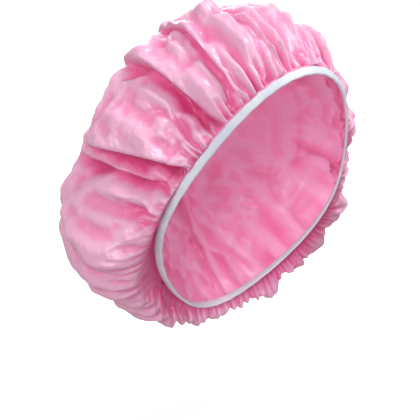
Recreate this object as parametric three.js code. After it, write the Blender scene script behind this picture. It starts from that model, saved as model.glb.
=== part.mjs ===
// A bouffant shower cap as it is worn: one round panel of thin film, gathered all round its edge
// into a narrow elastic binding. The head goes in through the slanting opening that the binding
// makes, and the slack of the panel hangs as a pouch behind the nape.
// Millimetres. +Z is up, -Y is the way the face looks, and the wearer's right is -X.
// The origin is the middle of the opening. A turn goes round the opening in degrees, from the
// forehead towards the wearer's right. A share is how far the film has come from the binding (0)
// to the middle of its panel (1).
import * as THREE from "three";

// ---- driving sizes ----
const OPENING_TILT = 50; // of the opening's plane from level, degrees
const OPENING_HALF_LENGTH = 123; // forehead to nape, half
const OPENING_HALF_WIDTH = 65; // at the temples, half
const EARS = { turn: 105, spread: 38, wider: 15 }; // the opening is wider each side at the ears
const BINDING_WIDTH = 6;
const BINDING_LEG = 0.9; // thickness of each folded leg of the binding
const FILM_WALL = 1.2;
const SEAM_GAP = 0.3; // between the film's edge and the binding round it
const FILM_COLUMNS = 144; // two to each fine gather
const BINDING_STEPS = 96;

// How the film leaves the binding. lean is how far the binding tips outwards from the opening's
// axis and drop how far the film hangs back over it, both in degrees; puff is the share of the way
// in which the film swells out to the bag.
const EDGE = [
  { at: "forehead", turn: 0, lean: 22, drop: 4, puff: 0.1 },
  { at: "right_temple", turn: 55, lean: 30, drop: 5, puff: 0.1 },
  { at: "right_ear", turn: 105, lean: 42, drop: 9, puff: 0.073 },
  { at: "behind_right_ear", turn: 140, lean: 24, drop: 13, puff: 0.1 },
  { at: "nape", turn: 180, lean: 2, drop: 9, puff: 0.09 },
  { at: "behind_left_ear", turn: 220, lean: 24, drop: 9, puff: 0.1 },
  { at: "left_ear", turn: 255, lean: 42, drop: 0, puff: 0.13 },
  { at: "left_temple", turn: 300, lean: 31, drop: 3, puff: 0.05 },
  { at: "left_brow", turn: 322, lean: 27, drop: 4, puff: 0.09 },
  { at: "forehead_again", turn: 360, lean: 22, drop: 4, puff: 0.1 },
];
const DROP_SHARE = 0.07; // where the film hangs lowest

// The bag that the film makes: a rounded body about a centre, with bulges and hollows. toward is
// degrees round from the back to the wearer's right, rise is above level, spread is how wide the
// form is, and reach how far it stands out. A form on both sides is mirrored to the left.
const BAG_CENTRE = new THREE.Vector3(0, 40.5, 15.5);
const BAG_HALF = { side: 142, back: 88, up: 118 };
const BAG_FORMS = [
  { name: "low_pouch", toward: 45, rise: -48, spread: 30, reach: 10, both: true },
  { name: "back_pouch", toward: 35, rise: -10, spread: 32, reach: 26, both: true },
  { name: "back_middle", toward: 0, rise: -12, spread: 24, reach: 2, both: false },
  { name: "low_side", toward: 95, rise: -35, spread: 28, reach: 13, both: true },
  { name: "over_ear", toward: 95, rise: 5, spread: 28, reach: -22, both: true },
  { name: "shoulder", toward: 64, rise: 36, spread: 27, reach: -12, both: true },
  { name: "high_side", toward: 105, rise: 50, spread: 26, reach: 8.5, both: true },
  { name: "crown", toward: 150, rise: 72, spread: 30, reach: 4, both: true },
  { name: "brow_puff", toward: 168, rise: 42, spread: 26, reach: 25, both: true },
  { name: "temple", toward: 125, rise: 28, spread: 26, reach: -15, both: true },
  { name: "underside", toward: 20, rise: -80, spread: 30, reach: 13, both: true },
  { name: "left_ear", toward: -100, rise: -8, spread: 26, reach: -10, both: false },
  { name: "left_temple_puff", toward: -140, rise: 16, spread: 13, reach: 14, both: false },
  { name: "left_brow_slack", toward: -150, rise: 52, spread: 18, reach: -3, both: false },
  { name: "right_crown_swell", toward: 45, rise: 61, spread: 18, reach: 6, both: false },
  { name: "right_side_waist", toward: 58, rise: 4, spread: 10, reach: -9, both: false },
];
const PANEL_MIDDLE = { toward: 0, rise: 30 };

// Rings of the film from the binding inwards, as shares.
const RINGS = [
  0, 0.022, 0.05, 0.085, 0.125, 0.17, 0.22, 0.28, 0.35, 0.43, 0.52, 0.62, 0.73, 0.84, 0.93,
];

// The gathers double in width as they run in from the binding. start, peak and end are shares, and
// height is half from valley to ridge.
const GATHERS = [
  { count: 72, height: 1.6, start: -0.02, peak: 0.04, end: 0.2 },
  { count: 36, height: 2.2, start: 0.01, peak: 0.12, end: 0.38 },
  { count: 18, height: 2.4, start: 0.04, peak: 0.25, end: 0.62 },
];

// The main folds. turn is where one starts at the binding and swing how far it drifts by its end;
// from and to are shares, width is in degrees, and height is above the bag, or below it.
const FOLDS = [
  { name: "brow_ridge", turn: 9, swing: 2, from: 0.03, to: 0.5, width: 5, height: 4 },
  { name: "brow_crease", turn: 17, swing: 2, from: 0.03, to: 0.5, width: 4, height: -5 },
  { name: "crown_ridge", turn: 28, swing: 1, from: 0.04, to: 0.6, width: 6, height: 4 },
  { name: "crown_crease", turn: 41, swing: 1, from: 0.02, to: 0.62, width: 3.5, height: -7 },
  { name: "temple_ridge", turn: 46, swing: 4, from: 0.05, to: 0.5, width: 4, height: 4 },
  { name: "temple_valley", turn: 52, swing: 14, from: 0.03, to: 0.6, width: 5.5, height: -11 },
  { name: "side_ridge", turn: 60, swing: 14, from: 0.08, to: 0.58, width: 4.5, height: 5 },
  { name: "side_lobe", turn: 67, swing: 15, from: 0.06, to: 0.5, width: 5.5, height: 6 },
  { name: "side_tuck", turn: 73, swing: 17, from: 0.04, to: 0.44, width: 4, height: -13 },
  { name: "ear_dent", turn: 84, swing: 10, from: 0.09, to: 0.5, width: 3.5, height: -7 },
  { name: "pouch_ridge", turn: 104, swing: -3, from: 0.05, to: 0.62, width: 5.5, height: 6 },
  { name: "pouch_valley", turn: 110, swing: -5, from: 0.04, to: 0.5, width: 4, height: -6 },
  { name: "low_ridge", turn: 117, swing: -6, from: 0.04, to: 0.58, width: 5, height: 5 },
  { name: "low_valley", turn: 127, swing: -6, from: 0.04, to: 0.55, width: 5, height: -6 },
  { name: "nape_ridge", turn: 146, swing: -6, from: 0.06, to: 0.7, width: 6, height: 5 },
  { name: "nape_dent", turn: 134, swing: 0, from: 0, to: 0.16, width: 7, height: -8 },
  { name: "nape_valley", turn: 163, swing: -4, from: 0.04, to: 0.5, width: 6, height: -6 },
  { name: "left_nape_ridge", turn: 182, swing: 3, from: 0.08, to: 0.7, width: 7, height: 5 },
  { name: "left_nape_valley", turn: 203, swing: 3, from: 0.05, to: 0.6, width: 6, height: -7 },
  { name: "left_pouch_ridge", turn: 219, swing: 2, from: 0.06, to: 0.65, width: 6, height: 6 },
  { name: "left_pouch_valley", turn: 236, swing: 4, from: 0.05, to: 0.6, width: 5, height: -8 },
  { name: "left_ear_ridge", turn: 250, swing: 2, from: 0.08, to: 0.6, width: 6, height: 5 },
  { name: "left_side_tuck", turn: 270, swing: -9, from: 0.05, to: 0.5, width: 4.5, height: -10 },
  { name: "left_temple_lobe", turn: 291, swing: 0, from: 0, to: 0.34, width: 7, height: 7 },
  { name: "left_temple_valley", turn: 311, swing: -9, from: 0.08, to: 0.6, width: 5, height: -6 },
  { name: "left_crown_ridge", turn: 321, swing: -4, from: 0.05, to: 0.55, width: 6, height: 4 },
  { name: "left_crown_crease", turn: 336, swing: -2, from: 0.03, to: 0.6, width: 4, height: -6 },
];

// Dents and rolls that lie across the folds. wide is in degrees of turn and long is a share.
const DENTS = [
  { name: "crown_dent", turn: 32, share: 0.4, wide: 10, long: 0.06, height: -4 },
  { name: "slack_roll", turn: 80, share: 0.34, wide: 9, long: 0.07, height: 5 },
  { name: "shoulder_dent", turn: 66, share: 0.6, wide: 22, long: 0.07, height: -5 },
  { name: "pouch_roll", turn: 118, share: 0.5, wide: 16, long: 0.08, height: 4 },
  { name: "back_dent", turn: 190, share: 0.52, wide: 20, long: 0.07, height: -6 },
  { name: "left_pouch_roll", turn: 232, share: 0.4, wide: 15, long: 0.07, height: 5 },
  { name: "left_side_dent", turn: 286, share: 0.45, wide: 14, long: 0.06, height: -5 },
  { name: "left_crown_dent", turn: 345, share: 0.5, wide: 18, long: 0.07, height: -4 },
];

// ---- small tools ----
const rad = THREE.MathUtils.degToRad;
const lerp = THREE.MathUtils.lerp;
const around = (turn) => ((turn % 360) + 360) % 360;
const apart = (a, b) => around(a - b + 180) - 180; // how far turn a is past turn b
const bump = (x) => Math.exp(-x * x); // 1 at the middle, fading to nothing on both sides
const ease = (x) => {
  const c = THREE.MathUtils.clamp(x, 0, 1);
  return c * c * (3 - 2 * c);
};
// A repeatable scatter from -1 to 1 for the nth of something.
const scatter = (n, kind) => {
  const s = Math.sin(n * 127.1 + kind * 311.7) * 43758.5453;
  return 2 * (s - Math.floor(s)) - 1;
};

// ---- directions ----
const AXIS = new THREE.Vector3(0, Math.sin(rad(OPENING_TILT)), Math.cos(rad(OPENING_TILT)));
const TO_BROW = new THREE.Vector3(0, -AXIS.z, AXIS.y);
const TO_LEFT = new THREE.Vector3(1, 0, 0);

function directionOf(toward, rise) {
  const t = rad(toward);
  const r = rad(rise);
  return new THREE.Vector3(-Math.sin(t) * Math.cos(r), Math.cos(t) * Math.cos(r), Math.sin(r));
}

// ---- the opening ----
// The EDGE table's values at a turn.
function edgeAt(turn) {
  const t = around(turn);
  const next = Math.max(1, EDGE.findIndex((row) => row.turn >= t));
  const a = EDGE[next - 1];
  const b = EDGE[next];
  const along = ease((t - a.turn) / (b.turn - a.turn));
  const between = (column) => lerp(a[column], b[column], along);
  return { lean: rad(between("lean")), drop: rad(between("drop")), puff: between("puff") };
}

// The binding's middle line.
function middleLine(turn) {
  const fromBrow = 180 - Math.abs(180 - around(turn));
  const ear = EARS.wider * bump((fromBrow - EARS.turn) / EARS.spread);
  return new THREE.Vector3()
    .addScaledVector(TO_LEFT, -(OPENING_HALF_WIDTH + ear) * Math.sin(rad(turn)))
    .addScaledVector(TO_BROW, OPENING_HALF_LENGTH * Math.cos(rad(turn)));
}

// The middle line with the directions across the binding's width and out of its face.
function openingAt(turn) {
  const onward = middleLine(turn + 0.5).sub(middleLine(turn - 0.5));
  const outward = AXIS.clone().cross(onward).normalize();
  const { lean } = edgeAt(turn);
  const along = AXIS.clone().multiplyScalar(Math.cos(lean));
  const face = outward.clone().multiplyScalar(Math.cos(lean));
  return {
    point: middleLine(turn),
    along: along.addScaledVector(outward, Math.sin(lean)),
    face: face.addScaledVector(AXIS, -Math.sin(lean)),
  };
}

// ---- the bag ----
const FORM_DIRECTIONS = BAG_FORMS.flatMap((form) =>
  (form.both ? [1, -1] : [1]).map((side) => ({
    ...form,
    middle: directionOf(side * form.toward, form.rise),
  })),
);
const MIDDLE = directionOf(PANEL_MIDDLE.toward, PANEL_MIDDLE.rise);

// How far the smooth bag reaches from its centre in a direction.
function bagReach(direction) {
  const { side, back, up } = BAG_HALF;
  const round = Math.hypot(direction.x / side, direction.y / back, direction.z / up);
  return FORM_DIRECTIONS.reduce((reach, form) => {
    const away = THREE.MathUtils.radToDeg(direction.angleTo(form.middle));
    return reach + form.reach * bump(away / form.spread);
  }, 1 / round);
}

// Height of the gathers, folds and dents over the bag at a column of the film.
function reliefAt(column, turn, share) {
  const gathers = GATHERS.reduce((sum, { count, height, start, peak, end }) => {
    const place = (column * count) / FILM_COLUMNS;
    const tall = height * (1 + 0.45 * scatter(Math.round(place), count));
    const strength = ease((share - start) / (peak - start)) * ease((end - share) / (end - peak));
    return sum + tall * strength * Math.cos(2 * Math.PI * place);
  }, 0);
  const folds = FOLDS.reduce((sum, fold) => {
    const run = (share - fold.from) / (fold.to - fold.from);
    if (run <= 0 || run >= 1) return sum;
    const away = apart(turn, fold.turn + fold.swing * run);
    return sum + fold.height * Math.sin(Math.PI * Math.sqrt(run)) * bump(away / fold.width);
  }, gathers);
  return DENTS.reduce((sum, dent) => {
    const across = apart(turn, dent.turn) / dent.wide;
    return sum + dent.height * bump(across) * bump((share - dent.share) / dent.long);
  }, folds);
}

// ---- the film ----
// A column's turn. Columns are spread a little unevenly, so no two gathers are alike.
const columnTurn = (column) => (360 / FILM_COLUMNS) * (column + 0.28 * scatter(column, 1));

// The film's middle surface and the way out of it.
function filmAt(column, share) {
  const turn = columnTurn(column);
  const { point, along, face } = openingAt(turn);
  const mouth = point.addScaledVector(along, BINDING_WIDTH / 2 + SEAM_GAP);
  if (share === 0) return { point: mouth, out: face };
  const { drop, puff } = edgeAt(turn);
  const start = mouth.sub(BAG_CENTRE);
  const sideways = start.clone().projectOnPlane(MIDDLE).normalize();
  const hang = (share / DROP_SHARE) * Math.exp(1 - share / DROP_SHARE);
  const angle = start.angleTo(MIDDLE) * (1 - share) + drop * hang;
  const out = sideways
    .multiplyScalar(Math.sin(angle))
    .addScaledVector(MIDDLE, Math.cos(angle));
  const swollen = 1 - Math.exp(-share / puff);
  const reach = lerp(start.length(), bagReach(out), swollen) + reliefAt(column, turn, share);
  return { point: BAG_CENTRE.clone().addScaledVector(out, reach), out };
}

function filmGeometry() {
  const positions = [];
  const index = [];
  const add = (p) => positions.push(p.x, p.y, p.z) / 3 - 1;
  const columns = [...Array(FILM_COLUMNS).keys()];
  // One skin of the film, outer (1) or inner (-1): its hem in the binding, its rings and its tip.
  const skin = (side) => {
    const offset = (side * FILM_WALL) / 2;
    const hem = columns.map((c) => {
      const { point, along, face } = openingAt(columnTurn(c));
      const inside = BINDING_WIDTH / 2 - BINDING_LEG - SEAM_GAP;
      return add(point.addScaledVector(along, -inside).addScaledVector(face, offset));
    });
    const rings = RINGS.map((share) =>
      columns.map((c) => {
        const { point, out } = filmAt(c, share);
        return add(point.addScaledVector(out, offset));
      }),
    );
    const tip = BAG_CENTRE.clone().addScaledVector(MIDDLE, bagReach(MIDDLE) + offset);
    return { rows: [hem, ...rings], tip: add(tip) };
  };
  const quad = (a, b, c, d) => index.push(a, b, c, a, c, d);
  const outer = skin(1);
  const inner = skin(-1);
  for (const c of columns) {
    const n = (c + 1) % FILM_COLUMNS;
    for (let r = 1; r < outer.rows.length; r++) {
      quad(outer.rows[r - 1][c], outer.rows[r][c], outer.rows[r][n], outer.rows[r - 1][n]);
      quad(inner.rows[r - 1][c], inner.rows[r - 1][n], inner.rows[r][n], inner.rows[r][c]);
    }
    quad(inner.rows[0][c], outer.rows[0][c], outer.rows[0][n], inner.rows[0][n]);
    index.push(outer.rows.at(-1)[c], outer.tip, outer.rows.at(-1)[n]);
    index.push(inner.rows.at(-1)[n], inner.tip, inner.rows.at(-1)[c]);
  }
  return new THREE.BufferGeometry()
    .setAttribute("position", new THREE.Float32BufferAttribute(positions, 3))
    .setIndex(index);
}

// ---- the binding ----
// Its section, folded over the film's edge: along and face from the middle line.
function bindingSection() {
  const half = BINDING_WIDTH / 2;
  const inside = FILM_WALL / 2 + SEAM_GAP;
  const outside = inside + BINDING_LEG;
  const soft = 0.7; // of the folded corners
  return [
    { along: half, face: outside },
    { along: -half + soft, face: outside },
    { along: -half, face: outside - soft },
    { along: -half, face: -outside + soft },
    { along: -half + soft, face: -outside },
    { along: half, face: -outside },
    { along: half, face: -inside },
    { along: -half + BINDING_LEG, face: -inside },
    { along: -half + BINDING_LEG, face: inside },
    { along: half, face: inside },
  ];
}

function bindingGeometry() {
  const section = bindingSection();
  const positions = [];
  const index = [];
  for (let s = 0; s < BINDING_STEPS; s++) {
    const { point, along, face } = openingAt((360 * s) / BINDING_STEPS);
    for (const corner of section) {
      const p = point.clone().addScaledVector(along, corner.along);
      positions.push(...p.addScaledVector(face, corner.face));
    }
  }
  const at = (s, k) => (s % BINDING_STEPS) * section.length + (k % section.length);
  for (let s = 0; s < BINDING_STEPS; s++)
    for (let k = 0; k < section.length; k++) {
      index.push(at(s, k), at(s + 1, k + 1), at(s, k + 1));
      index.push(at(s, k), at(s + 1, k), at(s + 1, k + 1));
    }
  return new THREE.BufferGeometry()
    .setAttribute("position", new THREE.Float32BufferAttribute(positions, 3))
    .setIndex(index);
}

// ---- the cap ----
function piece(name, geometry, colour, roughness) {
  const material = new THREE.MeshStandardMaterial({ color: colour, roughness, metalness: 0 });
  const mesh = new THREE.Mesh(geometry, material);
  mesh.name = name;
  return mesh;
}

const cap = new THREE.Group();
cap.add(piece("film_crown", filmGeometry(), 0xf08abb, 0.4));
cap.add(piece("elastic_binding", bindingGeometry(), 0xe4e4ee, 0.7));
export default cap;
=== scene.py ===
import bpy
import numpy as np
from math import cos, radians, sin
from mathutils import Matrix, Vector


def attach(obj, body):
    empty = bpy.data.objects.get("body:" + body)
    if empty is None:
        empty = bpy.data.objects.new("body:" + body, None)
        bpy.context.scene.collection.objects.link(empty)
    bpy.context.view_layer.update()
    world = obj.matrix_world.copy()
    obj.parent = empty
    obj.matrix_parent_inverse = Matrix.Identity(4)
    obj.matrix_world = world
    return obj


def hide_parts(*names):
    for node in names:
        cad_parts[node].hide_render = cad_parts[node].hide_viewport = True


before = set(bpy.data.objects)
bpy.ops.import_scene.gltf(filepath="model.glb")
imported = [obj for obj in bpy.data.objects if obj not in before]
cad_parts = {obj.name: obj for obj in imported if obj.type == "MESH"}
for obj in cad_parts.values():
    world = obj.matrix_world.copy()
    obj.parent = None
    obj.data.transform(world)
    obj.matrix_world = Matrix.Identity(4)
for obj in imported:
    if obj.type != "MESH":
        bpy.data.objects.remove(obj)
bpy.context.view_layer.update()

# ---- The opening ----
# The slanting ring on which the whole cap is made up: across the forehead, over the ears and down
# to the nape, wider at the ears than at the temples. All sizes of the cap are in millimetres; a
# turn goes round the ring in degrees, from the forehead towards the wearer's right.
OPENING_TILT = 50
OPENING_HALF_LENGTH = 123
OPENING_HALF_WIDTH = 65
EARS = dict(turn=105, spread=38, wider=15)
EDGE = [
    # turn, how far the binding leans out, how far the film drops back over it, swell of the film
    dict(turn=0, lean=22, drop=4, puff=0.1),
    dict(turn=55, lean=30, drop=5, puff=0.1),
    dict(turn=105, lean=42, drop=9, puff=0.073),
    dict(turn=140, lean=24, drop=13, puff=0.1),
    dict(turn=180, lean=2, drop=9, puff=0.09),
    dict(turn=220, lean=24, drop=9, puff=0.1),
    dict(turn=255, lean=42, drop=0, puff=0.13),
    dict(turn=300, lean=31, drop=3, puff=0.05),
    dict(turn=322, lean=27, drop=4, puff=0.09),
    dict(turn=360, lean=22, drop=4, puff=0.1),
]
AXIS = np.array([0, sin(radians(OPENING_TILT)), cos(radians(OPENING_TILT))])
TO_BROW = np.array([0, -AXIS[2], AXIS[1]])
TO_LEFT = np.array([1.0, 0, 0])


def bump(x):
    return np.exp(-np.square(x))


def ease(x):
    x = np.clip(x, 0, 1)
    return x * x * (3 - 2 * x)


def unit(v):
    return v / np.linalg.norm(v, axis=-1, keepdims=True)


def edge_value(turn, column):
    turn = np.mod(turn, 360)
    value = np.zeros_like(turn)
    for a, b in zip(EDGE, EDGE[1:]):
        inside = (turn >= a["turn"]) & (turn <= b["turn"])
        along = ease((turn - a["turn"]) / (b["turn"] - a["turn"]))
        value = np.where(inside, a[column] + (b[column] - a[column]) * along, value)
    return value


def middle_line(turn):
    from_brow = 180 - np.abs(180 - np.mod(turn, 360))
    ear = EARS["wider"] * bump((from_brow - EARS["turn"]) / EARS["spread"])
    across = -(OPENING_HALF_WIDTH + ear) * np.sin(np.radians(turn))
    ahead = OPENING_HALF_LENGTH * np.cos(np.radians(turn))
    return across[..., None] * TO_LEFT + ahead[..., None] * TO_BROW


def opening_at(turn):
    """The ring's middle line, the way across the binding's width, and the way out of its face."""
    turn = np.asarray(turn, float)
    outward = unit(np.cross(AXIS, middle_line(turn + 0.5) - middle_line(turn - 0.5)))
    lean = np.radians(edge_value(turn, "lean"))[..., None]
    along = AXIS * np.cos(lean) + outward * np.sin(lean)
    face = outward * np.cos(lean) - AXIS * np.sin(lean)
    return middle_line(turn), along, face


def turn_along(share_round):
    """The turn at a share of the way round the ring by length, as the gathers are spread evenly."""
    turns = np.linspace(0, 360, 1441)
    steps = np.linalg.norm(np.diff(middle_line(turns), axis=0), axis=1)
    gone = np.concatenate([[0], np.cumsum(steps)])
    return np.interp(share_round, gone / gone[-1], turns)


def mesh_object(name, points, faces, material, smooth=True):
    """A mesh from points in millimetres."""
    mesh = bpy.data.meshes.new(name)
    mesh.from_pydata((np.asarray(points) / 1000).tolist(), [], [tuple(map(int, f)) for f in faces])
    mesh.update()
    if smooth:
        mesh.shade_smooth()
    mesh.materials.append(material)
    made = bpy.data.objects.new(name, mesh)
    bpy.context.scene.collection.objects.link(made)
    return made


# ---- The film ----
# One round panel of satin-finished film about a tenth of a millimetre thick, half a metre across.
# Its edge is gathered to two fifths of its length and sewn into the binding; the rest stands in
# fine gathers that run together into loose folds, and its slack hangs behind the nape.
PANEL_RADIUS = 255
SEAM_DEPTH = 3.3  # from the opening's middle line to where the film comes out of the binding
DROP_SHARE = 0.07  # where the film hangs lowest over the binding
DROP_START = 0.006
BAG_CENTRE = np.array([0, 40.5, 15.5])
BAG_HALF = np.array([142, 88, 118])
BAG_FORMS = [
    # towards the wearer's right from the back, rise, spread, reach, and whether on both sides
    ("low_pouch", 45, -48, 30, 10, True),
    ("back_pouch", 35, -10, 32, 26, True),
    ("back_middle", 0, -12, 24, 2, False),
    ("low_side", 95, -35, 28, 13, True),
    ("over_ear", 95, 5, 28, -22, True),
    ("shoulder", 64, 36, 27, -12, True),
    ("high_side", 105, 50, 26, 8.5, True),
    ("crown", 150, 72, 30, 4, True),
    ("brow_puff", 168, 42, 26, 25, True),
    ("temple", 125, 28, 26, -15, True),
    ("underside", 20, -80, 30, 13, True),
    ("left_ear", -100, -8, 26, -10, False),
    ("left_temple_puff", -140, 16, 13, 14, False),
    ("left_brow_slack", -150, 52, 18, -3, False),
    ("right_crown_swell", 45, 61, 18, 6, False),
    ("right_side_waist", 58, 4, 10, -9, False),
]
GATHERS = [
    # count, half height, and the shares of the way in where they start, peak and end
    (168, 1.9, 0.004, 0.02, 0.085),
    (84, 2.3, 0.012, 0.045, 0.15),
    (41, 2.0, 0.05, 0.1, 0.26),
    (19, 1.0, 0.1, 0.22, 0.45),
]
CREASES = [
    # kind, how many, shares from and to, how far off the radial line in degrees, length, width, height
    ("pleat", 260, 0.015, 0.17, 9, (20, 55), (2.2, 4.2), (0.9, 2.6)),
    ("fan", 110, 0.07, 0.3, 12, (40, 90), (4.5, 11), (1.6, 4.0)),
    ("facet", 190, 0.15, 0.55, 70, (40, 100), (7, 15), (1.7, 3.8)),
    ("crown_facet", 70, 0.5, 1.0, 90, (60, 150), (8, 18), (1.3, 3.0)),
    ("crumple", 420, 0.05, 0.5, 90, (12, 40), (2.4, 6), (0.8, 1.9)),
    ("crown_crumple", 60, 0.55, 1.0, 90, (16, 50), (4, 9), (0.5, 1.3)),
]
OVER_THE_TOP = 0.5  # creases that start this far in run straight over the panel's middle
FOLDS = [
    # The part's own main folds. The turn at the binding, how far it swings by its end, and the
    # shares it runs between; then how wide the film rises or sinks before and behind the line, how
    # high it stands before and behind it, and how far the front laps over.
    ("brow_ridge", 9, 2, 0.03, 0.5, 11, 9, 3.5, 3.5, 0),
    ("brow_crease", 17, 2, 0.03, 0.5, 9, 12, 2, -5, 1),
    ("crown_ridge", 28, 1, 0.04, 0.6, 14, 9, 4, 4, 0),
    ("crown_crease", 41, 1, 0.02, 0.62, 14, 15, 5, -6, 4),
    ("temple_ridge", 46, 4, 0.05, 0.5, 12, 9, 4, 4, 0),
    ("temple_valley", 52, 14, 0.03, 0.6, 16, 22, 6, -12, 4),
    ("side_ridge", 60, 14, 0.08, 0.58, 10, 12, 4, 4, 0),
    ("side_lobe", 67, 15, 0.06, 0.5, 14, 16, 5, 5, 0),
    ("side_tuck", 73, 17, 0.04, 0.44, 24, 24, 8, -17, 4),
    ("ear_dent", 84, 10, 0.09, 0.5, 8, 9, 4, -12, 2),
    ("pouch_ridge", 104, -3, 0.05, 0.62, 12, 13, 5, 5, 0),
    ("pouch_valley", 110, -5, 0.04, 0.5, 8, 10, 1, -6, 2),
    ("low_ridge", 117, -6, 0.04, 0.58, 11, 12, 4, 4, 0),
    ("low_valley", 127, -6, 0.04, 0.55, 8, 10, 1, -6, 2),
    ("nape_dent", 134, 0, 0, 0.16, 11, 11, -7, -7, 0),
    ("nape_ridge", 146, -6, 0.06, 0.7, 14, 12, 5, 5, 0),
    ("nape_valley", 163, -4, 0.04, 0.5, 10, 14, 1, -6, 2),
    ("left_nape_ridge", 182, 3, 0.08, 0.7, 14, 12, 5, 5, 0),
    ("left_nape_valley", 203, 3, 0.05, 0.6, 14, 10, -7, 2, -2),
    ("left_pouch_ridge", 219, 2, 0.06, 0.65, 12, 14, 6, 6, 0),
    ("left_pouch_valley", 236, 4, 0.05, 0.6, 15, 10, -8, 3, -3),
    ("left_ear_ridge", 250, 2, 0.08, 0.6, 12, 12, 5, 5, 0),
    ("left_side_tuck", 270, -9, 0.05, 0.5, 13, 20, -7, 4.5, -3),
    ("left_temple_lobe", 291, 0, 0, 0.34, 12, 12, 7, 7, 0),
    ("left_temple_valley", 311, -9, 0.08, 0.6, 13, 8, -6, 1, -2),
    ("left_crown_ridge", 321, -4, 0.05, 0.55, 12, 14, 4, 4, 0),
    ("left_crown_crease", 336, -2, 0.03, 0.6, 12, 9, -6, 2, -1.5),
]
DENTS = [
    # turn, share, width in degrees, length as a share, height
    ("crown_dent", 32, 0.4, 10, 0.06, -3),
    ("shoulder_dent", 66, 0.6, 22, 0.07, -4),
    ("pouch_roll", 118, 0.5, 16, 0.08, 4),
    ("back_dent", 190, 0.52, 20, 0.07, -6),
    ("left_pouch_roll", 232, 0.4, 15, 0.07, 5),
    ("left_side_dent", 286, 0.45, 14, 0.06, -5),
    ("left_crown_dent", 345, 0.5, 18, 0.07, -4),
]
# The panel's mesh: columns round it, and rows from one share of the way in to the next.
ZONES = [
    (960, 0.0, 0.12, 22),
    (480, 0.12, 0.62, 80),
    (240, 0.62, 0.84, 34),
    (120, 0.84, 0.95, 17),
    (60, 0.95, 0.99, 6),
]
LAP_STEP = 3.2  # across a fold's line, over which its two sides run together
FOLD_FADE_IN, FOLD_FADE_OUT = 5, 2.2  # how steeply a fold starts and ends along its run
RELIEF_START, RELIEF_RUN = 0.005, 0.016  # shares over which all relief fades in at the binding
SLACK_LOSS = 1.5  # how far the creased film draws in from the full bag
chance = np.random.default_rng(7)


def direction_of(toward, rise):
    t, r = radians(toward), radians(rise)
    return np.array([-sin(t) * cos(r), cos(t) * cos(r), sin(r)])


PANEL_MIDDLE = direction_of(0, 30)


def bag_reach(direction):
    reach = 1 / np.linalg.norm(direction / BAG_HALF, axis=-1)
    for _, toward, rise, spread, out, both in BAG_FORMS:
        for side in (1, -1) if both else (1,):
            near = np.clip(direction @ direction_of(side * toward, rise), -1, 1)
            reach = reach + out * bump(np.degrees(np.arccos(near)) / spread)
    return reach


def apart(a, b):
    return np.mod(a - b + 180, 360) - 180


def folds_at(turn, share, ring_radius):
    """Height of the main folds over the smooth bag, and how far they lean along the ring."""
    height, lean = np.zeros_like(turn), np.zeros_like(turn)
    for _, at, swing, start, end, wide_before, wide_behind, before, behind, lap in FOLDS:
        run = np.clip((share - start) / (end - start), 0, 1)
        away = np.radians(apart(turn, at + swing * run)) * ring_radius
        ends = ease(run * FOLD_FADE_IN) * ease((1 - run) * FOLD_FADE_OUT)
        front = np.clip(1 + away / wide_before, 0, 1)
        back = np.clip(1 - away / wide_behind, 0, 1)
        past = ease(away / LAP_STEP + 0.5)
        height += ends * (before * front * (1 - past) + behind * back * past)
        lean += ends * lap * (front * (1 - past) - back * past)
    for _, at, middle, wide, long, tall in DENTS:
        height += tall * bump(apart(turn, at) / wide) * bump((share - middle) / long)
    return height, lean


def gathers_at(panel_angle, share):
    """Height of the fine gathers, which double in width on their way in: round ridges with sharp
    valleys between them."""
    height = np.zeros_like(share)
    around = np.radians(panel_angle)
    for count, tall, start, peak, end in GATHERS:
        strength = ease((share - start) / (peak - start)) * ease((end - share) / (end - peak))
        sway = sum(
            chance.uniform(0.3, 0.9) * np.sin(around * k + chance.uniform(0, 6.3))
            for k in (5, 8, 13, 21, 34)
        )
        uneven = 1 + 0.45 * np.sin(around * (count // 3 + 2) + chance.uniform(0, 6.3))
        wave = 2 * np.abs(np.cos((around * count + 1.4 * sway) / 2)) - 1.3
        height += tall * strength * uneven * wave
    return height


def creases_at(turn, share, ring_radius):
    """Height of the sharp creases: each is a tent along a line, steeper on one side."""
    height = np.zeros_like(share)
    for _, many, start, end, tilt, long, wide, tall in CREASES:
        for _ in range(many):
            # Spread evenly over the panel's area, not over its shares.
            at = 1 - np.sqrt(chance.uniform((1 - end) ** 2, (1 - start) ** 2))
            at_turn, off = chance.uniform(0, 360), np.radians(chance.uniform(-tilt, tilt))
            length, width = chance.uniform(*long), chance.uniform(*wide)
            rise = chance.uniform(*tall) * (1 if chance.random() < 0.5 else -1)
            steep, bow = chance.uniform(0.35, 0.65), chance.uniform(-0.004, 0.004)
            x = np.radians(apart(turn, at_turn)) * ring_radius
            y = (share - at) * PANEL_RADIUS
            if start >= OVER_THE_TOP:
                radius, at_radius = PANEL_RADIUS * (1 - share), PANEL_RADIUS * (1 - at)
                x = radius * np.sin(np.radians(turn - at_turn))
                y = at_radius - radius * np.cos(np.radians(turn - at_turn))
            near = (np.abs(x) < length + width) & (np.abs(y) < length + width)
            x, y = x[near], y[near]
            along = y * cos(off) + x * sin(off)
            across = x * cos(off) - y * sin(off) + bow * along * along
            side = np.where(across > 0, across / (2 * steep), -across / (2 - 2 * steep)) / width
            taper = np.clip(1 - np.abs(2 * along / length), 0, 1)
            height[near] += rise * np.clip(1 - side, 0, 1) * ease(taper * 1.6)
    return height


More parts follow.
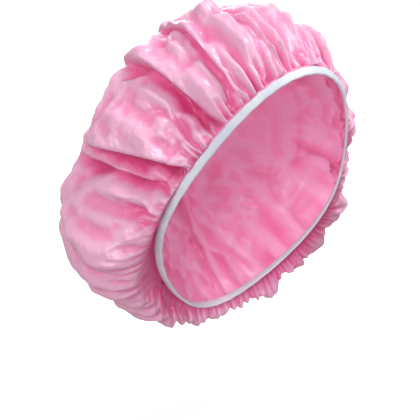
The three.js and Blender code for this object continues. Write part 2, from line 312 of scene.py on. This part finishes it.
def film_at(panel_angle, share, gathered=True):
    """Points of the film and the ways out of it."""
    turn = turn_along(panel_angle / 360)
    point, along, _ = opening_at(turn)
    start = point + along * SEAM_DEPTH - BAG_CENTRE
    length = np.linalg.norm(start, axis=-1)
    toward = start / length[..., None]
    sideways = unit(toward - PANEL_MIDDLE * (toward @ PANEL_MIDDLE)[..., None])
    dropped = np.maximum(share - DROP_START, 0) / DROP_SHARE
    hang = dropped * np.exp(1 - dropped)
    angle = np.arccos(toward @ PANEL_MIDDLE) * (1 - share)
    angle = (angle + np.radians(edge_value(turn, "drop")) * hang)[..., None]
    out = sideways * np.sin(angle) + PANEL_MIDDLE * np.cos(angle)
    swollen = 1 - np.exp(-share / edge_value(turn, "puff"))
    reach = length * (1 - swollen) + bag_reach(out) * swollen
    ring_radius = np.linalg.norm(np.cross(out, PANEL_MIDDLE), axis=-1) * reach
    height, lean = folds_at(turn, share, ring_radius)
    if gathered:
        height = height + gathers_at(panel_angle, share)
        height = height + creases_at(turn, share, ring_radius) - SLACK_LOSS * swollen
    round_ring = unit(np.cross(sideways, PANEL_MIDDLE))
    height = height * ease((share - RELIEF_START) / RELIEF_RUN)
    return BAG_CENTRE + out * (reach + height)[..., None] + round_ring * lean[..., None], out


def lay_out_panel():
    """The flat panel as rings of vertices: the turn and share of each, and the triangles."""
    turns, shares, rows, faces = [], [], [], []
    for columns, start, end, count in ZONES:
        for share in np.linspace(start, end, count, endpoint=False):
            first = sum(len(t) for t in turns)
            rows.append(np.arange(first, first + columns))
            turns.append(360 * np.arange(columns) / columns)
            shares.append(np.full(columns, share))
    for outer, inner in zip(rows, rows[1:]):
        a, b = outer, np.roll(outer, -1)
        if len(outer) == len(inner):
            c, d = inner, np.roll(inner, -1)
            swap = (np.arange(len(a)) % 2 == 0)[:, None]
            faces.append(np.where(swap, np.stack([a, c, b], 1), np.stack([a, d, b], 1)))
            faces.append(np.where(swap, np.stack([c, d, b], 1), np.stack([a, c, d], 1)))
        else:
            c, d = inner, np.roll(inner, -1)
            faces.append(np.stack([a[0::2], c, a[1::2]], 1))
            faces.append(np.stack([c, d, a[1::2]], 1))
            faces.append(np.stack([a[1::2], d, np.roll(a[0::2], -1)], 1))
    middle = sum(len(t) for t in turns)
    last = rows[-1]
    faces.append(np.stack([last, np.full(len(last), middle), np.roll(last, -1)], 1))
    turn = np.concatenate(turns + [[0.0]])
    share = np.concatenate(shares + [[1.0]])
    return turn, share, np.concatenate(faces)


def links_of(faces):
    """Each edge of the mesh, once."""
    pairs = np.concatenate([faces[:, [0, 1]], faces[:, [1, 2]], faces[:, [2, 0]]])
    return np.unique(np.sort(pairs, axis=1), axis=0).T


STRETCH, SQUASH = 1.0, 0.75  # how firmly an edge goes back to its length from either side
HASTE = 1.9
GLIDE = 0.6  # of the last step that is kept
LONGEST_STEP = 1.2


def settle(points, goal, hold, a, b, rest, fixed, rounds, stiff):
    """Let the film find its length: it hardly stretches, gives a little more to squashing, resists
    sharp bends, and is drawn a little back towards its goal, the place where it was laid."""
    size = len(points)
    valence = np.bincount(a, minlength=size) + np.bincount(b, minlength=size)
    before = points.copy()

    def gathered(move, sign):
        return np.stack(
            [np.bincount(a, move[:, k], size) + sign * np.bincount(b, move[:, k], size) for k in range(3)], 1
        )

    for _ in range(rounds):
        span = points[b] - points[a]
        length = np.linalg.norm(span, axis=1)
        firm = np.where(length < rest, SQUASH, STRETCH)
        pull = firm * (length - rest) / np.maximum(length, 1e-6) * 0.5
        move = gathered(span * pull[:, None], -1) / valence[:, None] * HASTE
        level = gathered(span, -1) / valence[:, None]
        bend = gathered(level[b] - level[a], -1) / valence[:, None]
        step = move - stiff[:, None] * bend + hold[:, None] * (goal - points)
        step += GLIDE * (points - before)
        step *= 1 - fixed[:, None]
        size_of = np.linalg.norm(step, axis=1, keepdims=True)
        step *= np.minimum(1, LONGEST_STEP / np.maximum(size_of, 1e-9))
        before, points = points, points + step
    return points


turn, share, film_faces = lay_out_panel()
goal, film_out = film_at(turn, share, gathered=False)
start, _ = film_at(turn, share)
flat_radius = PANEL_RADIUS * (1 - share)
flat = np.stack([flat_radius * np.cos(np.radians(turn)), flat_radius * np.sin(np.radians(turn))], 1)
link_a, link_b = links_of(film_faces)
cut_length = np.linalg.norm(flat[link_b] - flat[link_a], axis=1)
# An edge rests at its cut length, or a little over the smooth bag's where the bag is longer, but
# never longer than it was laid. Close to the binding it keeps the length it was laid at.
bag_length = np.linalg.norm(goal[link_b] - goal[link_a], axis=1)
edge_share = np.minimum(share[link_a], share[link_b])
start_length = np.linalg.norm(start[link_b] - start[link_a], axis=1)
BAG_EASE = 1.04
SEWN_SHARE = 0.035
free = ease(edge_share / SEWN_SHARE)
rest_length = np.minimum(start_length, np.maximum(cut_length, bag_length * BAG_EASE))
rest_length = start_length * (1 - free) + rest_length * free
film_points = start
film_points = settle(
    film_points,
    start,
    hold=np.interp(share, [0.02, 0.14, 0.24], [0.2, 0.12, 0.03]),
    a=link_a,
    b=link_b,
    rest=rest_length,
    fixed=(share < 0.004).astype(float),
    rounds=30,
    stiff=np.interp(share, [0.4, 0.6], [0.005, 0.02]),
)
# Close to the binding the film stays behind the tape's edge and never folds over it.
CLEAR_OF_TAPE = 3.2
point, along, _ = opening_at(turn)
behind = ((film_points - point) * along).sum(1)
close = ease((0.09 - share) / 0.05) * ease((share - 0.004) / 0.004)
film_points = film_points + along * (np.maximum(CLEAR_OF_TAPE - behind, 0) * close)[:, None]


def sunk_by(points, a, b, outward, rounds):
    """How far each point lies below the film around it, which widens with the rounds."""
    size = len(points)
    valence = np.bincount(a, minlength=size) + np.bincount(b, minlength=size)
    level = points.copy()
    for _ in range(rounds):
        around = [
            np.bincount(a, level[b, k], size) + np.bincount(b, level[a, k], size) for k in range(3)
        ]
        level = np.stack(around, 1) / valence[:, None]
    return ((level - points) * outward).sum(1)


# Painted shade and highlight: film sunk below the film around it is painted a deeper magenta, for the shade
# in tucked pockets where light reaches it through film alone; a sharp crest is painted pale, for its
# highlight.
BROAD_ROUNDS, BROAD_DEPTH = 260, 6
FINE_ROUNDS, FINE_DEPTH = 12, 1.2
# broad gives the painted shade of wide pockets; sharp gives a painted highlight on crests and painted shade
# in fine creases.
broad = sunk_by(film_points, link_a, link_b, film_out, BROAD_ROUNDS) / BROAD_DEPTH
sharp = sunk_by(film_points, link_a, link_b, film_out, FINE_ROUNDS) / FINE_DEPTH
painted_shade_and_highlight = np.clip(broad, -0.5, 1.2) + np.clip(sharp, -0.5, 0.35)

film_material = bpy.data.materials.new("satin_film")
film_material.use_nodes = True
nodes, wires = film_material.node_tree.nodes, film_material.node_tree.links
nodes.clear()


def node(kind, **values):
    made = nodes.new(kind)
    for key, value in values.items():
        if key in made.inputs:
            made.inputs[key].default_value = value
        else:
            setattr(made, key, value)
    return made


place = node("ShaderNodeTexCoord")
creases = node("ShaderNodeTexVoronoi", feature="DISTANCE_TO_EDGE", Scale=85.0, Randomness=1.0)
warp = node("ShaderNodeTexNoise", Scale=60.0, Detail=3.0)
fine = node("ShaderNodeTexNoise", Scale=420.0, Detail=4.0, Roughness=0.6)
shift = node("ShaderNodeMix", data_type="VECTOR")
shift.inputs[0].default_value = 0.02
wires.new(place.outputs["Object"], shift.inputs[4])
wires.new(warp.outputs["Color"], shift.inputs[5])
wires.new(place.outputs["Object"], warp.inputs["Vector"])
wires.new(place.outputs["Object"], fine.inputs["Vector"])
wires.new(shift.outputs[1], creases.inputs["Vector"])
crease_bump = node("ShaderNodeBump", Strength=0.45, Distance=0.0025)
fine_bump = node("ShaderNodeBump", Strength=0.12, Distance=0.0005)
wires.new(creases.outputs["Distance"], crease_bump.inputs["Height"])
wires.new(fine.outputs["Fac"], fine_bump.inputs["Height"])
wires.new(crease_bump.outputs["Normal"], fine_bump.inputs["Normal"])
# The painted shade and highlight, stored on the film's points, picks the film's colour.
tone = node("ShaderNodeAttribute", attribute_name="painted_shade_and_highlight")
painted_shade_ramp = node("ShaderNodeValToRGB")
tint_place = node("ShaderNodeMapRange")
tint_place.inputs["From Min"].default_value = -1
tint_place.inputs["From Max"].default_value = 1.5
wires.new(tone.outputs["Fac"], tint_place.inputs["Value"])
wires.new(tint_place.outputs["Result"], painted_shade_ramp.inputs["Fac"])
# Stops: a pale painted highlight for crests, the film's own pink, then deepening painted shade down to dark
# magenta for the pockets.
for at, colour in (
    (0.0, (0.84, 0.48, 0.66, 1)),
    (0.38, (0.85, 0.28, 0.5, 1)),
    (0.6, (0.84, 0.17, 0.39, 1)),
    (1.0, (0.62, 0.04, 0.19, 1)),
):
    stops = painted_shade_ramp.color_ramp.elements
    stop = stops[0] if at == 0 else stops[-1] if at == 1 else stops.new(at)
    stop.position = at
    stop.color = colour
satin = node("ShaderNodeBsdfPrincipled")
wires.new(painted_shade_ramp.outputs["Color"], satin.inputs["Base Color"])
satin.inputs["Roughness"].default_value = 0.38
satin.inputs["Specular IOR Level"].default_value = 0.75
satin.inputs["Sheen Weight"].default_value = 0.08
satin.inputs["Sheen Roughness"].default_value = 0.4
through = node("ShaderNodeBsdfTranslucent", Color=(0.9, 0.33, 0.56, 1))
both = node("ShaderNodeMixShader", Fac=0.2)
surface = node("ShaderNodeOutputMaterial")
wires.new(fine_bump.outputs["Normal"], satin.inputs["Normal"])
wires.new(fine_bump.outputs["Normal"], through.inputs["Normal"])
wires.new(satin.outputs[0], both.inputs[1])
wires.new(through.outputs[0], both.inputs[2])
wires.new(both.outputs[0], surface.inputs["Surface"])

film = mesh_object("film", film_points, film_faces, film_material)
# Stores the painted shade and highlight on the film's points.
film.data.attributes.new("painted_shade_and_highlight", "FLOAT", "POINT").data.foreach_set("value", painted_shade_and_highlight.astype(np.float32))
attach(film, "root")
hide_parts("film_crown")

# ---- The binding ----
# A narrow woven tape folded over the film's edge, with a flat elastic sewn inside it that draws
# the whole edge in.
BINDING_WIDTH = 6
BINDING_STEPS = 720
binding_turn = 360 * np.arange(BINDING_STEPS) / BINDING_STEPS
point, along, face = opening_at(binding_turn)
half = BINDING_WIDTH / 2
section = [
    # across the width, out of the face: round the outside of the fold, then back along its inside
    (half, 0.25),
    (half, 0.7),
    (half - 0.4, 0.95),
    (0.6, 1.05),
    (-half + 0.7, 1.0),
    (-half + 0.1, 0.65),
    (-half - 0.1, 0.0),
    (-half + 0.1, -0.65),
    (-half + 0.7, -1.0),
    (0.6, -1.05),
    (half - 0.4, -0.95),
    (half, -0.7),
    (half, -0.25),
    (-half + 1.0, -0.2),
    (-half + 1.0, 0.2),
]
around = np.radians(binding_turn)
pucker = 0.05 * np.sin(around * 118) + 0.05 * np.sin(around * 59 + 1)
binding_points = []
for a, f in section:
    across = a + 0.15 * np.sin(around * 41 + a)
    outward = f + np.sign(f) * pucker * (abs(f) > 0.6)
    binding_points.append(point + along * across[:, None] + face * outward[:, None])
binding_points = np.concatenate(binding_points)
binding_faces = []
for k in range(len(section)):
    here = np.arange(BINDING_STEPS) + k * BINDING_STEPS
    there = np.arange(BINDING_STEPS) + (k + 1) % len(section) * BINDING_STEPS
    binding_faces.append(np.stack([here, np.roll(here, -1), np.roll(there, -1), there], 1))
binding_faces = np.concatenate(binding_faces)[:, ::-1]

# A row of lockstitches on each side holds the fold shut, near where the film comes out. A stitch
# has four square rings along it, small at its ends.
STITCHES = 196
STITCH_ACROSS = 1.5
STITCH_OUT = 1.02
STITCH_ENDS, STITCH_BODY = 0.62, 0.35  # half lengths, in degrees of turn
STITCH_RINGS = (0.05, 0.2, 0.2, 0.05)  # half thickness of each ring
stitch_turn = 360 * (np.arange(STITCHES) + 0.5) / STITCHES
ring_turns = [stitch_turn + off for off in (-STITCH_ENDS, -STITCH_BODY, STITCH_BODY, STITCH_ENDS)]
for side in (1, -1):
    rings = []
    for turns, thick in zip(ring_turns, STITCH_RINGS):
        point, along, face = opening_at(turns)
        for c, d in ((1, 0), (0, 1), (-1, 0), (0, -1)):
            across = STITCH_ACROSS + c * thick * 1.2
            rings.append(point + along * across + face * side * (STITCH_OUT + d * thick))
    start = len(binding_points)
    binding_points = np.concatenate([binding_points, np.concatenate(rings)])
    each = start + np.arange(STITCHES)
    quads = []
    for ring in range(3):
        for k in range(4):
            here, beside = ring * 4 + k, ring * 4 + (k + 1) % 4
            corners = (here, beside, beside + 4, here + 4)
            quads.append(np.stack([each + STITCHES * c for c in corners], 1))
    quads.append(np.stack([each + STITCHES * c for c in (3, 2, 1, 0)], 1))
    quads.append(np.stack([each + STITCHES * c for c in (12, 13, 14, 15)], 1))
    quads = np.concatenate(quads)
    binding_faces = np.concatenate([binding_faces, quads if side < 0 else quads[:, ::-1]])

binding_material = bpy.data.materials.new("woven_tape")
binding_material.use_nodes = True
weave = binding_material.node_tree.nodes
threads = binding_material.node_tree.links
tape = weave["Principled BSDF"]
place = weave.new("ShaderNodeTexCoord")
blotch = weave.new("ShaderNodeTexNoise")
blotch.inputs["Scale"].default_value = 45
blotch.inputs["Detail"].default_value = 5
cloth = weave.new("ShaderNodeValToRGB")
cloth.color_ramp.elements[0].position = 0.3
cloth.color_ramp.elements[0].color = (0.62, 0.66, 0.76, 1)
cloth.color_ramp.elements[1].position = 0.7
cloth.color_ramp.elements[1].color = (0.8, 0.82, 0.88, 1)
yarn = weave.new("ShaderNodeTexVoronoi")
yarn.inputs["Scale"].default_value = 1900
yarn.inputs["Randomness"].default_value = 0.25
raised = weave.new("ShaderNodeBump")
raised.inputs["Strength"].default_value = 0.5
raised.inputs["Distance"].default_value = 0.0001
threads.new(place.outputs["Object"], blotch.inputs["Vector"])
threads.new(place.outputs["Object"], yarn.inputs["Vector"])
threads.new(blotch.outputs["Fac"], cloth.inputs["Fac"])
threads.new(cloth.outputs["Color"], tape.inputs["Base Color"])
threads.new(yarn.outputs["Distance"], raised.inputs["Height"])
threads.new(raised.outputs["Normal"], tape.inputs["Normal"])
tape.inputs["Roughness"].default_value = 0.65
tape.inputs["Sheen Weight"].default_value = 0.15
binding = mesh_object("binding", binding_points, binding_faces, binding_material)
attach(binding, "root")
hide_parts("elastic_binding")

# ---- The studio ----
# A wide pale floor that runs out to a white horizon, an even pale sky and three soft suns, which
# stand for large soft boxes: one high at the right, one behind, one low at the left.
floor_material = bpy.data.materials.new("pale_floor")
floor_material.use_nodes = True
paint = floor_material.node_tree.nodes["Principled BSDF"]
paint.inputs["Base Color"].default_value = (0.95, 0.95, 0.95, 1)
paint.inputs["Roughness"].default_value = 0.8
paint.inputs["Emission Color"].default_value = (1, 1, 1, 1)
paint.inputs["Emission Strength"].default_value = 0.3
FLOOR_REACH = 60000
FLOOR_HEIGHT = -190
ways = ((-1, -1), (1, -1), (1, 1), (-1, 1))
floor_points = [(x * FLOOR_REACH, y * FLOOR_REACH, FLOOR_HEIGHT) for x, y in ways]
floor = mesh_object("floor", floor_points, [(0, 1, 2, 3)], floor_material, smooth=False)
floor.visible_diffuse = False
floor.visible_glossy = False

world = bpy.data.worlds.new("sky")
world.use_nodes = True
sky = world.node_tree
sky_place = sky.nodes.new("ShaderNodeTexCoord")
sky_split = sky.nodes.new("ShaderNodeSeparateXYZ")
sky_height = sky.nodes.new("ShaderNodeMapRange")
sky_height.inputs["From Min"].default_value = -1
sky_ramp = sky.nodes.new("ShaderNodeValToRGB")
sky.links.new(sky_place.outputs["Generated"], sky_split.inputs[0])
sky.links.new(sky_split.outputs["Z"], sky_height.inputs["Value"])
sky.links.new(sky_height.outputs["Result"], sky_ramp.inputs["Fac"])
sky.links.new(sky_ramp.outputs["Color"], sky.nodes["Background"].inputs["Color"])
stops = sky_ramp.color_ramp.elements
for at, grey in ((0.0, 0.42), (0.49, 0.46), (0.495, 1.0), (0.52, 1.0), (0.53, 0.52), (1.0, 0.52)):
    stop = stops[0] if at == 0 else stops[-1] if at == 1 else stops.new(at)
    stop.position = at
    stop.color = (grey, grey, grey, 1)
bpy.context.scene.world = world
bpy.context.scene.view_settings.view_transform = "Standard"


def soft_sun(name, toward, power, spread):
    lamp = bpy.data.lights.new(name, "SUN")
    lamp.energy = power
    lamp.angle = radians(spread)
    made = bpy.data.objects.new(name, lamp)
    made.rotation_euler = Vector(toward).to_track_quat("Z", "Y").to_euler()
    bpy.context.scene.collection.objects.link(made)


soft_sun("high_right", (0.3, -0.35, 0.88), 2.35, 18)
soft_sun("behind", (0.45, 0.8, 0.45), 0.9, 30)
soft_sun("low_left", (-0.7, -0.7, 0.25), 1.5, 22)

# ---- The camera ----
CAMERA_AZIMUTH = 33  # towards the wearer's right
CAMERA_ELEVATION = 7
CAMERA_ROLL = 4
CAMERA_DISTANCE = 1200
PICTURE_WIDTH = 321.7  # at that distance
CAMERA_ASIDE = 36.1  # the cap stands right of the picture's middle
CAMERA_BELOW = 11.6
az, el, roll = radians(CAMERA_AZIMUTH), radians(CAMERA_ELEVATION), radians(CAMERA_ROLL)
back = Vector((-sin(az) * cos(el), -cos(az) * cos(el), sin(el)))
level = Vector((cos(az), -sin(az), 0))
up = back.cross(level)
right = level * cos(roll) - up * sin(roll)
up = level * sin(roll) + up * cos(roll)
lens = bpy.data.cameras.new("camera")
lens.sensor_width = 36
lens.lens = 36 * CAMERA_DISTANCE / PICTURE_WIDTH
camera = bpy.data.objects.new("camera", lens)
place = (back * CAMERA_DISTANCE - right * CAMERA_ASIDE - up * CAMERA_BELOW) / 1000
camera.matrix_world = Matrix.Translation(place) @ Matrix((right, up, back)).transposed().to_4x4()
bpy.context.scene.collection.objects.link(camera)
bpy.context.scene.camera = camera
